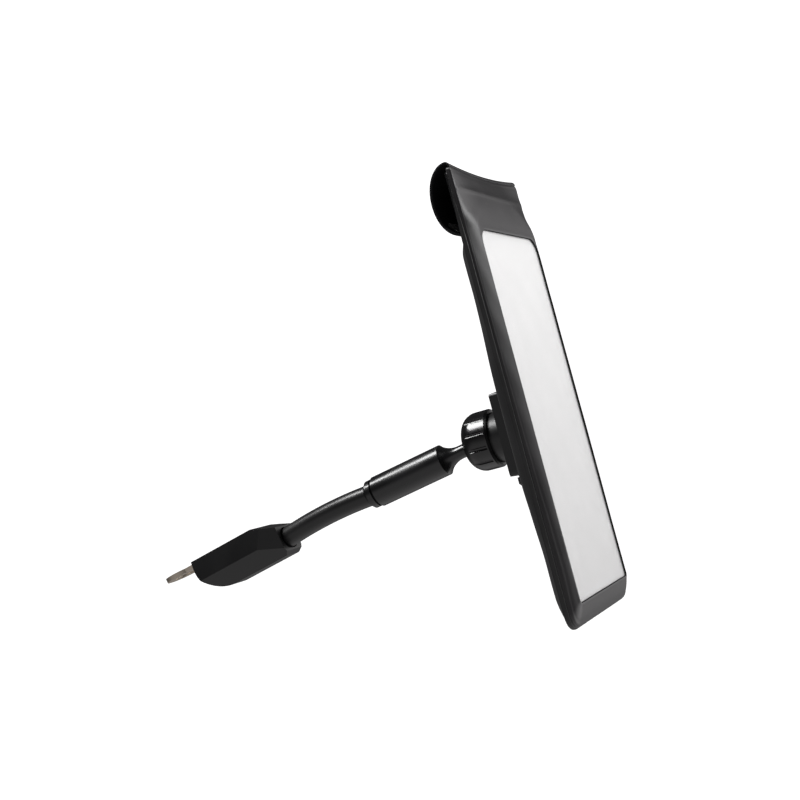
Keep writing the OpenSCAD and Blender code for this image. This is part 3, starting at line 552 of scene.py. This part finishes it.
@dataclass
class Arm(Assembly):
    """Eyelet plate, boot, bendable hose and turned sleeve, in the plane of symmetry.

    A slope is in degrees, and the path's numbers are the source's own. The ends are the straight lengths
    that are hidden in the boot and in the sleeve, and lead is how many points each of them has.
    """

    tab_tilt: float = 12.2
    boot_end: float = 64.8
    mouth_z: float = -9.4
    rod_lift: float = 4.8
    bend_r: float = 235.0
    bend: float = 11.4
    back_r: float = 120.0
    back: float = 3.8
    hose_r: float = 5.25
    core_r: float = 2.5
    hose_ends: tuple[float, float] = (19.0, 9.0)
    core_ends: tuple[float, float] = (35.5, 20.0)
    lead: int = 8

    def path(self, before: float, after: float, steps: int = 40) -> tuple[Array, Array]:
        """Centreline of the rod: straight, a long bend down, a short one back, and straight again.

        On a bend the slope changes evenly, and the point is the bend's centre plus the radius across
        the slope.

        Args:
            before: straight length ahead of the boot's mouth.
            after: straight length past the sleeve's end.
            steps: points on the long bend.

        Returns:
            Points by 3, and the slope at each point in radians.
        """

        def across(a: Array) -> Array:
            """Unit vector square to the slope, pointing up."""
            return np.stack([-np.sin(a), np.zeros_like(a), np.cos(a)], axis=-1)

        def along(a: float) -> Array:
            """Unit vector along the slope."""
            return np.array([math.cos(a), 0.0, math.sin(a)])

        tilt = math.radians(self.tab_tilt)
        start = self.boot_end * along(tilt) + self.mouth_z * across(np.array(tilt))
        first = math.radians(self.tab_tilt + self.rod_lift)
        second = math.radians(self.tab_tilt + self.rod_lift - self.bend)
        down = np.linspace(first, second, steps)
        centre = start - self.bend_r * across(np.array(first))
        long_bend = centre + self.bend_r * across(down)
        up = np.linspace(second, second + math.radians(self.back), steps // 3)[1:]
        centre = long_bend[-1] + self.back_r * across(np.array(second))
        short_bend = centre - self.back_r * across(up)
        lead_in = start - np.linspace(before, 0, self.lead, endpoint=False)[:, None] * along(first)
        lead_out = short_bend[-1] + np.linspace(0, after, self.lead + 1)[1:, None] * along(up[-1])
        points = np.concatenate([lead_in, long_bend, short_bend, lead_out])
        slopes = np.concatenate([np.full(self.lead, first), down, up, np.full(self.lead, up[-1])])
        return points, slopes

    def tube(self, name: str, radius: float, before: float, after: float, around: int = 64) -> Thing:
        """A round tube: at each point of the path, a circle square to the slope.

        Args:
            name: the piece's name.
            radius: in millimetres.
            before: straight length ahead of the boot's mouth.
            after: straight length past the sleeve's end.
            around: points on the circle.

        Returns:
            The tube, closed at both ends.
        """
        points, slopes = self.path(before, after)
        turn = np.linspace(0, 2 * np.pi, around, endpoint=False)
        s = slopes[:, None]
        side = np.broadcast_to(radius * np.cos(turn)[None, :], (len(points), around))
        rise = radius * np.sin(turn)[None, :]
        grid = points[:, None, :] + np.stack([-rise * np.sin(s), side, rise * np.cos(s)], axis=-1)
        return surface(name, close_ends(grid), around_columns=True, flip=True)

    def build(self) -> None:
        """Builds the hose and its core, and dresses the rigid nodes."""
        self.dress_nodes(TAB_STEEL, "mirror_tab")
        self.dress_nodes(SCREW_STEEL, "tab_screws", "core_screw")
        self.dress_nodes(BLOCK_ZINC, "clamp_block")
        self.dress_nodes(BOOT_MOULDING, "boot_cover", edge=0.5)
        self.dress_nodes(SLEEVE_ANODISED, "sleeve_cap", "sleeve", "ball_stud")
        points, _ = self.path(0, 0)
        for name, radius, ends, finish, slot, node in (
            ("hose", self.hose_r, self.hose_ends, HOSE_RUBBER, "hose_rubber", "gooseneck_sheath"),
            ("core_wire", self.core_r, self.core_ends, CORE_WIRE, "core_wire", "gooseneck_core"),
        ):
            piece = self.tube(name, radius, *ends)
            self.dress(piece, finish, None, slot, node)
            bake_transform(piece)


@dataclass
class BallHead(Assembly):
    """Ball liners, ribbed nut, socket and the plate with its latch. All are rigid nodes."""

    def build(self) -> None:
        """Dresses the nodes."""
        self.dress_nodes(LINER_ACETAL, "ball_liner_rear", "ball_liner_front")
        self.dress_nodes(NUT_ABS, "collar_nut")
        self.dress_nodes(MOUNT_NYLON, "ball_socket")
        self.dress_nodes(MOUNT_NYLON, "mount_plate", "base_bracket", edge=0.4)
        self.dress_nodes(SCREW_STEEL, "socket_screws", "bracket_screws")
        self.dress_nodes(LATCH_PLASTIC, "release_latch", edge=0.3)


@dataclass
class Pouch(Assembly):
    """The soft pouch.

    From the window's centre, n points out of the window, u runs across it and v up it.
    """

    half_w: float = 44.2
    foot: float = 94.7
    up: float = 112.5
    window_half: float = 38.8
    window_down: float = 85.0
    window_up: float = 83.0
    bevel_w: float = 5.4
    top_band: float = 10.0
    frame_top: float = 0.8
    rim_front: float = -3.3
    rim_back: float = -5.5
    rim_roll: float = 0.35
    back_base: float = -10.2
    seat: float = 0.7
    seat_half: float = 36.0
    seat_down: float = 54.0
    sheet_t: float = 1.0
    film_n: float = -0.2
    film_t: float = 0.4
    film_seam: float = 0.9
    corner: float = 7.0
    fold_rise: float = 2.3
    roll_depth: float = 11.0
    roll_slack: float = 0.35
    roll_h: float = 33.4
    sag: float = 2.0
    pocket_n: float = -7.9
    lining_t: float = 0.5
    lining_half: float = 42.6
    lining_down: float = 91.0
    lining_flat: tuple[float, float] = (86.0, 174.0)
    flap_flat: float = 73.0
    rest_half: float = 32.0
    tape_half: float = 38.0

    def __post_init__(self) -> None:
        """Finds the window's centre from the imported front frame, and the roll's middle."""
        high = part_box("front_frame")[1]
        self.origin = np.array([high.x / MM - self.frame_top, 0.0, high.z / MM - self.up])
        self.roll_mid = self.up + self.fold_rise - self.roll_h / 2
        self.join_v = self.roll_mid - self.roll_h / 2

    def place(self, n: Array, u: Array, v: Array) -> Array:
        """Stacks n, u and v into points of the row frame."""
        n, u, v = np.broadcast_arrays(n, u, v)
        return np.stack([n, u, v], axis=-1) + self.origin

    def dip(self, u: Array) -> Array:
        """How far the top fold sags at u: a parabola, most in the middle and nothing at the edges."""
        return self.sag * (1 - (u / self.half_w) ** 2)

    def front_fall(self, share: Array, u: Array, v: Array) -> Array:
        """How far the front has fallen towards the rim, from 0 at the window to 1 at the rim.

        Beside and below the window it is the share of the way. Above, it is one less the product of what
        is left of the side's slope and of the top's, so that the two run softly into each other. The
        side's slope widens upwards from the bevel's width, and the top's is steeper in the band under
        the fold.

        Args:
            share: share of the way from the window's edge to the rim.
            u: across the pouch.
            v: up the pouch.

        Returns:
            The fall at each point.
        """
        over = v - self.window_up
        side_w = self.bevel_w + 34 * soft_step(over / 26)
        side = (1 - (self.half_w - np.abs(u)) / side_w).clip(0) ** (1 + 1.2 * soft_step(over / 7))
        rise = (over / (self.up - self.top_band - self.window_up)).clip(0)
        band = ((v - self.up + self.top_band) / self.top_band).clip(0)
        top = 0.33 * np.minimum(rise, 1) ** 1.2 + 0.67 * band ** 0.9
        above = soft_step((over + 8) / 14)
        return share * (1 - above) + (1 - (1 - side) * (1 - top)) * above

    def front_grid(self) -> Array:
        """The front sheet as a loft from the window's edge to the rim, and on round the rim.

        A point is the window's outline plus a share of the way to the rim's outline, and its height falls
        as front_fall says. The bevel is slightly crowned, its edges are rounded, and a line is pressed
        near the rim. A ridge runs under the fold. Past the rim, the rings run straight back.

        Returns:
            Rings by points by 3.
        """
        crown, edge_round, pressed, ridge, waver = 0.3, 0.22, 0.09, 0.22, 0.12
        inner = rounded_loop(self.window_half, self.window_down, self.window_up, 2.0, 8.0)
        outer = rounded_loop(self.half_w, self.foot, self.up, self.corner, 1.5)
        share = (0.5 - 0.5 * np.cos(np.linspace(0, np.pi, 40)))[:, None]
        u = inner[:, 0] * (1 - share) + outer[:, 0] * share
        v = inner[:, 1] * (1 - share) + outer[:, 1] * share
        reach = np.hypot(*(outer - inner).T)[None, :]
        from_window, from_rim = share * reach, (1 - share) * reach
        n = self.frame_top - (self.frame_top - self.rim_front) * self.front_fall(share, u, v)
        n = n - edge_round * bell(from_window, 0.0, 0.4)
        n = n + crown * np.sin(np.pi * share) * np.minimum(reach / 9, 1)
        n = n - pressed * bell(from_rim, 1.9, 0.7) * soft_step(from_window / 1.5)
        n = n + waver * soft_step(from_window / 2) * ripple(0.6 * from_rim, v, 44.0, 1.9)
        panel = soft_step((v - self.window_up - 4) / 8) * soft_step(from_rim / 3)
        n = n + ridge * panel * bell(v - self.up, -10.3, 1.1) + waver * panel * ripple(u, v, 90.0, 0.8)
        n = n - self.rim_roll * bell(from_rim, 0.0, 0.6)
        v = v - self.dip(u) * soft_step((v - self.window_up - 3) / 26)
        back = np.array([0.25, 0.6, 1.0])[:, None] * (self.rim_back - self.rim_front + self.rim_roll)
        wall_n = n[-1][None, :] + back
        wall = self.place(wall_n, u[-1][None, :], v[-1][None, :])
        return np.concatenate([self.place(n, u, v), wall])

    def rounded_sheet(
        self, half: float, down: float, up: float, r: float
    ) -> tuple[Array, Array, Array]:
        """A sheet whose two lower corners are round, as a grid.

        Each row is a level of v, and its width follows the circle in the corners. Rows and columns crowd
        towards the edges by a cosine.

        Args:
            half: half the width.
            down: reach below the middle.
            up: reach above it.
            r: radius of the lower corners.

        Returns:
            u, v and the distance from the nearest side or the foot, each rows by columns.
        """
        v = -down + (down + up) * (0.5 - 0.5 * np.cos(np.linspace(0, np.pi, 120)))[:, None]
        low = np.clip(r - (v + down), 0, r)
        wide = half - r + np.sqrt(r * r - low * low)
        u = np.sin(np.linspace(-np.pi / 2, np.pi / 2, 90))[None, :] * wide
        v = np.broadcast_to(v, u.shape)
        corner = r - np.hypot(np.abs(u) - (half - r), low)
        straight = np.minimum(half - np.abs(u), v + down)
        return u, v, np.where((low > 0) & (np.abs(u) > half - r), corner, straight).clip(0)

    def back_grid(self) -> Array:
        """The back sheet's outer face.

        It falls from the rim by the pocket's depth over a short slope at the sides and longer ones at the
        foot and top, is raised under the bracket, and ripples gently where it is free. The slope is
        shortest and the sheet deepest at the waist, a flat bell round the bracket.

        Returns:
            Rows by columns by 3.
        """
        u, v, edge = self.rounded_sheet(self.half_w, self.foot, self.join_v, self.corner)
        waist_v, waist_h, side_slope, foot_slope, top_slope = -6.0, 44.0, 8.6, 15.0, 9.0
        waist = np.exp(-(((v - waist_v) / waist_h) ** 4))
        ends = quarter((v + self.foot) / foot_slope) * quarter((self.join_v - v) / top_slope)
        fall = quarter(edge / (side_slope - 3.8 * waist)) * ends
        n = self.rim_back - (self.rim_back - self.back_base - 0.5 * (1 - waist)) * fall
        under = soft_step((self.seat_half - v) / 6) * soft_step((v + self.seat_down) / 6)
        seat = soft_step((self.seat_half - np.abs(u)) / 5) * under
        loose = soft_step(edge / 9) * (1 - seat)
        slack = 0.3 * loose * (0.6 + 0.4 * ripple(u, v, 38.0, 2.2))
        return self.place(n - self.seat * seat - slack, u, v)

    def lining_grid(self) -> Array:
        """The lining: a tray under the pocket with soft sides, and a tongue up behind the window's top.

        The depth is the product of rises from the sides, the foot and the tongue.

        Returns:
            Rows by columns by 3.
        """
        up = self.join_v - 0.6
        u, v, edge = self.rounded_sheet(self.lining_half, self.lining_down, up, 5.0)
        tray = quarter(edge / 6.5) * quarter((v + self.lining_down) / 11) * quarter((up - v) / 4)
        top = self.rim_back + 0.1
        return self.place(top + (self.pocket_n - top) * tray, u, v)

    def flap_grid(self) -> Array:
        """The closure flap: one strip from the front fold over the top, round the roll and up its back.

        Its section is a quarter ellipse over the fold, a half ellipse behind, and a straight run. Across
        the pouch the section's top sags, and its depth wavers a little.

        Returns:
            Points along the strip by points across by 3.
        """
        waver, t = 0.3, self.sheet_t / 2
        a = np.radians(np.linspace(0, 90, 10))[:, None]
        b = np.radians(np.linspace(90, -90, 56))[1:, None]
        u = np.linspace(-self.half_w, self.half_w, 90)[None, :]
        rise, half = self.fold_rise, self.roll_h / 2
        depth = self.roll_depth - self.roll_slack + waver * ripple(u, 0 * u, 52.0, 1.4)
        fold_n = self.rim_back + (self.rim_front - 0.1 - t - self.rim_back) * np.cos(a) + 0 * u
        fold_v = self.up + (rise - t) * np.sin(a) + 0 * u
        roll_n = self.rim_back - (depth - t) * np.cos(b)
        roll_v = self.roll_mid + (half - t) * np.sin(b) + waver * ripple(u, 20 * b, 60.0, 0.3) * np.cos(b)
        wall_v = np.linspace(self.join_v + 1.4, self.up - 2.5, 24)[:, None] + 0 * u
        wall_n = self.rim_back - t + 0 * wall_v
        n = np.concatenate([fold_n, roll_n, wall_n])
        v = np.concatenate([fold_v, roll_v, wall_v])
        v = v - self.dip(u) * soft_step((v - self.roll_mid) / (self.up - self.roll_mid))
        return self.place(n, u, v)

    def welt_grid(self) -> Array:
        """The welt: an oval section carried down one side, round the foot and up the other.

        The section stands square to the line of the rim, thins out under the fold and wavers a little.

        Returns:
            Points along the rim by points round the section by 3.
        """
        top = self.up - 2.2
        loop = rounded_loop(self.half_w, self.foot, top, self.corner, 0.01)
        side = np.linspace(top, self.corner - self.foot, SIDE_POINTS, endpoint=False)
        left = np.stack([np.full_like(side, -self.half_w), side], axis=1)
        foot_and_right = loop[: FOOT_POINTS + CORNER_POINTS + SIDE_POINTS]
        line = np.concatenate([left, loop[-CORNER_POINTS:], foot_and_right, [[self.half_w, top]]])
        ahead = np.gradient(line, axis=0)
        ahead /= np.linalg.norm(ahead, axis=1, keepdims=True)
        out = np.stack([ahead[:, 1], -ahead[:, 0]], axis=1)
        turn = np.linspace(0, 2 * np.pi, 20, endpoint=False)[None, :]
        size = 0.15 + 0.85 * soft_step((self.up - 6 - line[:, 1:2]) / 30)
        waver = 1 - 0.06 * (1 + ripple(line[:, 1:2], line[:, :1], 17.0, 0.4))
        wide = (0.05 + 0.75 * superellipse(np.cos(turn), 0.8)) * size * waver
        high = 1.2 * superellipse(np.sin(turn), 0.8) * size
        u = line[:, :1] + out[:, :1] * wide
        v = line[:, 1:2] + out[:, 1:2] * wide
        return close_ends(self.place(self.rim_back + high, u, v))

    def film_grid(self) -> Array:
        """The film: a flat sheet whose middle swells forward a fraction and wavers.

        Returns:
            Rows by columns by 3.
        """
        half, seam = self.window_half, self.film_seam
        u = np.linspace(-half - seam, half + seam, 60)[None, :]
        v = np.linspace(-self.window_down - seam, self.window_up + seam, 120)[:, None]
        free = np.minimum(soft_step((half - np.abs(u)) / 20),
                          soft_step((self.window_down - np.abs(v + 1)) / 25))
        n = self.film_n + free * (0.25 + 0.12 * ripple(u, v, 70.0, 0.5))
        return self.place(n, u, v)

    def along_u(
        self, profile: Array, half: float, steps: int = 40, power: float = 10.0
    ) -> Array:
        """Carries a closed profile across the pouch, shrinking it towards its centre at both ends.

        The profile's size at u is the power-th root of one less |u| over half to that power.

        Args:
            profile: points by 2, as (n, v).
            half: half the length.
            steps: stations.
            power: how square the ends are.

        Returns:
            Stations by points by 3.
        """
        u = half * np.sin(np.linspace(-np.pi / 2, np.pi / 2, steps))[:, None]
        size = (1 - np.abs(u / half) ** power).clip(0) ** (1 / power)
        centre = profile.mean(axis=0)
        n = centre[0] + (profile[:, 0] - centre[0])[None, :] * size
        v = centre[1] + (profile[:, 1] - centre[1])[None, :] * size
        return self.place(n, u, v)

    def rest_profile(self) -> Array:
        """Section of the foam rest: a rounded block that is cut away where the lining slopes up.

        It is a superellipse, whose lower back corner is pulled forward.

        Returns:
            Points by 2, as (n, v).
        """
        middle_n, middle_v, half_t, half_h = -4.3, -83.0, 3.3, 2.5
        a = np.linspace(0, 2 * np.pi, 48, endpoint=False)
        n = middle_n + half_t * superellipse(np.cos(a), 0.4)
        v = middle_v + half_h * superellipse(np.sin(a), 0.4)
        cut = soft_step((-v - 81) / 4.5) * soft_step((middle_n - n) / half_t)
        return np.stack([n + 2.1 * cut, v], axis=1)

    def hook_profile(self) -> Array:
        """Section of the hook tape: it follows the inside of the roll's ellipse between two angles.

        Returns:
            Points by 2, as (n, v).
        """
        low, high, gap, t = -62, -34, 1.1, 0.8
        a = np.radians(np.linspace(low, high, 24))

        def face(angle: Array, d: float) -> Array:
            """Points on the ellipse drawn d inside the roll's outer face."""
            return np.stack([self.rim_back - (self.roll_depth - self.roll_slack - d) * np.cos(angle),
                             self.roll_mid + (self.roll_h / 2 - d) * np.sin(angle)], axis=1)

        return np.concatenate([face(a, gap), face(a[::-1], gap + t)])

    def loop_profile(self) -> Array:
        """Section of the loop tape on the wall inside the roll: a thin superellipse.

        Returns:
            Points by 2, as (n, v).
        """
        half_t, half_h, clearance = 0.4, 4.5, 0.02
        a = np.linspace(0, 2 * np.pi, 32, endpoint=False)
        n = self.rim_back - self.sheet_t - half_t - clearance + half_t * superellipse(np.cos(a), 0.5)
        v = self.join_v + 8.5 + half_h * superellipse(np.sin(a), 0.3)
        return np.stack([n, v], axis=1)

    def front_cut(self) -> float:
        """Adds up the flat front: its outline less the window, plus the strip turned round the rim.

        Returns:
            The area in square metres.
        """
        wide, high = 2 * self.half_w, self.foot + self.up
        window = 2 * self.window_half * (self.window_down + self.window_up)
        turned = (self.rim_front - self.rim_back) * 2 * (wide + high)
        return (wide * high - window + turned) * MM * MM

    def add(
        self, name: str, grid: Array, finish: Finish | ClearFilm, slot: str, node: str,
        around: bool = False, flip: bool = False, **sheet: float,
    ) -> Thing:
        """Builds one soft piece and ties it to the head.

        Args:
            name: the piece's name.
            grid: its points.
            finish: its finish.
            slot: the record's material slot; not used.
            node: the CAD node that it replaces.
            around: whether the last column joins the first.
            flip: whether the faces are turned over.
            sheet: what thicken needs, or nothing for a solid piece.

        Returns:
            The piece.
        """
        piece = surface(name, grid, around_columns=around, flip=flip)
        if sheet:
            thicken(piece, **sheet)
        self.dress(piece, finish, "head", slot, node)
        return piece

    def build_pieces(self) -> dict[str, Thing]:
        """Builds the soft pieces in order: sheets, welt, film, foam rest and the two tapes.

        Returns:
            Each piece by its name.
        """
        t = self.sheet_t
        rest = self.along_u(self.rest_profile(), self.rest_half)
        hooks = self.along_u(self.hook_profile(), self.tape_half, 30, 40.0)
        loops = self.along_u(self.loop_profile(), self.tape_half, 30, 40.0)
        made = (
            self.add("front_sheet", self.front_grid(), FRONT_SHEET, "front_sheet", "front_frame",
                     around=True, thickness=t, backed=True),
            self.add("back_sheet", self.back_grid(), BACK_SHEET, "back_sheet", "back_panel",
                     thickness=t, offset=1.0),
            self.add("lining", self.lining_grid(), LINING_KNIT, "lining_fabric", "pocket_lining",
                     thickness=self.lining_t),
            self.add("flap", self.flap_grid(), FRONT_SHEET, "front_sheet", "closure_flap",
                     flip=True, thickness=t, offset=0.0, edge=0.25, backed=True),
            self.add("welt", self.welt_grid(), WELT_BINDING, "welt_rubber", "edge_welt", around=True),
            self.add("film", self.film_grid(), WINDOW_FILM, "clear_film", "window_film",
                     flip=True, thickness=self.film_t),
            self.add("rest", close_ends(rest), REST_FOAM, "rest_foam", "foam_rest", around=True),
            self.add("hook_tape", close_ends(hooks), TAPE_PILE, "tape_fabric", "hook_strip",
                     around=True, flip=True),
            self.add("loop_tape", close_ends(loops), TAPE_PILE, "tape_fabric", "loop_strip", around=True),
        )
        return {piece.name: piece for piece in made}

    def build(self) -> None:
        """Dresses the back stiffener and builds the soft pieces.
        """
        self.dress_nodes(BOARD_PLASTIC, "back_stiffener")
        made = self.build_pieces()


@dataclass(frozen=True)
class Glow:
    """A broad patch of light: its direction and strength, and the cosines where it starts and is full."""

    toward: Triple
    strength: float
    start: float
    full: float


@dataclass(frozen=True)
class Softbox:
    """One rectangular soft light: where it stands and aims, its width and height in metres, its watts."""

    name: str
    place: Triple
    aim: Triple
    size: tuple[float, float]
    power: float


@dataclass
class Studio:
    """Pale floor, soft lights and the camera at the photograph's angle. Sizes are in metres."""

    eye: Triple = (0.4081, -0.6091, 0.0087)
    right: Triple = (0.8792, 0.4018, -0.2559)
    upward: Triple = (0.2617, 0.0415, 0.9643)
    lens: float = 62.4
    sensor: float = 36.0
    floor_z: float = -0.42
    floor_flat: float = 1.6
    floor_bend: float = 1.4
    wall_top: float = 4.0
    ambient: float = 0.06
    glows: tuple[Glow, ...] = (
        Glow((0.8, 0.6, -0.1), 1.75, 0.7, 1.0),
        Glow((0.0, -0.45, -0.9), 0.42, 0.12, 0.6),
        Glow((0.0, 0.5, -0.9), 0.2, 0.2, 1.0),
    )
    softboxes: tuple[Softbox, ...] = (
        Softbox("key_above", (-0.3, -0.32, 0.98), (0.12, 0.0, 0.03), (0.55, 0.35), 13.0),
        Softbox("rider_side", (0.75, 0.02, 0.36), (0.22, 0.0, 0.12), (0.4, 0.36), 2.8),
    )

    def build_camera(self) -> None:
        """Places the camera by its right and up vectors; it looks against their cross product."""
        data = bpy.data.cameras.new("photo_camera")
        data.lens, data.sensor_width = self.lens, self.sensor
        data.clip_start, data.clip_end = 0.01, 50.0
        right = Vector(self.right).normalized()
        upward = (Vector(self.upward) - right * Vector(self.upward).dot(right)).normalized()
        turned = Matrix((right, upward, right.cross(upward))).transposed().to_4x4()
        camera = bpy.data.objects.new("photo_camera", data)
        camera.matrix_world = Matrix.Translation(self.eye) @ turned
        bpy.context.scene.collection.objects.link(camera)
        bpy.context.scene.camera = camera

    def build_floor(self) -> None:
        """A pale round floor that curves up into a wall, and lights nothing.

        The radius grows evenly to the bend, then follows a quarter circle and runs straight up.
        """
        bend = np.radians(np.linspace(0, 90, 24))
        flat, turn = self.floor_flat, self.floor_bend
        level = np.linspace(0, flat, 4, endpoint=False)
        r = np.concatenate([level, flat + turn * np.sin(bend), [flat + turn]])
        z = np.concatenate([np.zeros(4), turn * (1 - np.cos(bend)), [self.wall_top]]) + self.floor_z
        a = np.linspace(0, 2 * np.pi, 96, endpoint=False)[None, :]
        r, z = r[:, None] / MM, z[:, None] / MM
        grid = np.stack([r * np.cos(a), r * np.sin(a), z + 0 * a], axis=-1)
        floor = surface("floor", grid, around_columns=True)
        paint = bpy.data.materials.new("pale_floor")
        paint.use_nodes = True
        shader = paint.node_tree.nodes["Principled BSDF"]
        for key, value in (("Base Color", linear("#f6f6f6")), ("Roughness", 0.9),
                           ("Emission Color", linear("#ffffff")), ("Emission Strength", 1.0)):
            shader.inputs[key].default_value = value
        floor.data.materials.append(paint)
        floor.visible_glossy = floor.visible_diffuse = floor.visible_shadow = False

    def build_world(self) -> None:
        """A dim room with broad glows, each a smooth step of the cosine to its direction."""
        world = bpy.data.worlds.new("soft_room")
        bpy.context.scene.world = world
        world.use_nodes = True
        tree = world.node_tree
        tree.nodes.clear()
        toward = add_node(tree, "TexCoord").outputs["Generated"]
        total = None
        for glow in self.glows:
            facing = add_node(tree, "VectorMath", {"operation": "DOT_PRODUCT"}, {
                0: toward, 1: tuple(Vector(glow.toward).normalized())}).outputs["Value"]
            light = add_node(tree, "MapRange", {"interpolation_type": "SMOOTHSTEP"}, {
                "Value": facing, "From Min": glow.start, "From Max": glow.full,
                "To Max": glow.strength}).outputs[0]
            total = light if total is None else combine(tree, "ADD", total, light)
        sky = add_node(tree, "Background", None, {
            "Color": (1.0, 0.985, 0.99, 1.0), "Strength": combine(tree, "ADD", total, self.ambient)})
        add_node(tree, "OutputWorld", None, {"Surface": sky.outputs[0]})

    def build_lights(self) -> None:
        """Adds each soft light, turned to face its aim."""
        for box in self.softboxes:
            data = bpy.data.lights.new(box.name, "AREA")
            data.shape, data.energy = "RECTANGLE", box.power
            data.size, data.size_y = box.size
            light = bpy.data.objects.new(box.name, data)
            light.location = box.place
            ahead = Vector(box.aim) - Vector(box.place)
            light.rotation_euler = ahead.to_track_quat("-Z", "Y").to_euler()
            bpy.context.scene.collection.objects.link(light)

    def build(self) -> None:
        """Builds the stage, the lights and the camera, and sets how the picture is shown."""
        self.build_floor()
        self.build_world()
        self.build_camera()
        self.build_lights()
        view = bpy.context.scene.view_settings
        view.view_transform, view.look, view.exposure = "Standard", "None", 0.0


def main() -> None:
    """Builds each assembly in order."""
    logging.basicConfig(level=logging.INFO, format="%(name)s: %(message)s")
    palette = Palette({})
    for assembly in (Arm(palette), BallHead(palette), Pouch(palette)):
        assembly.build()
    Studio().build()


if __name__ == "__main__":
    main()
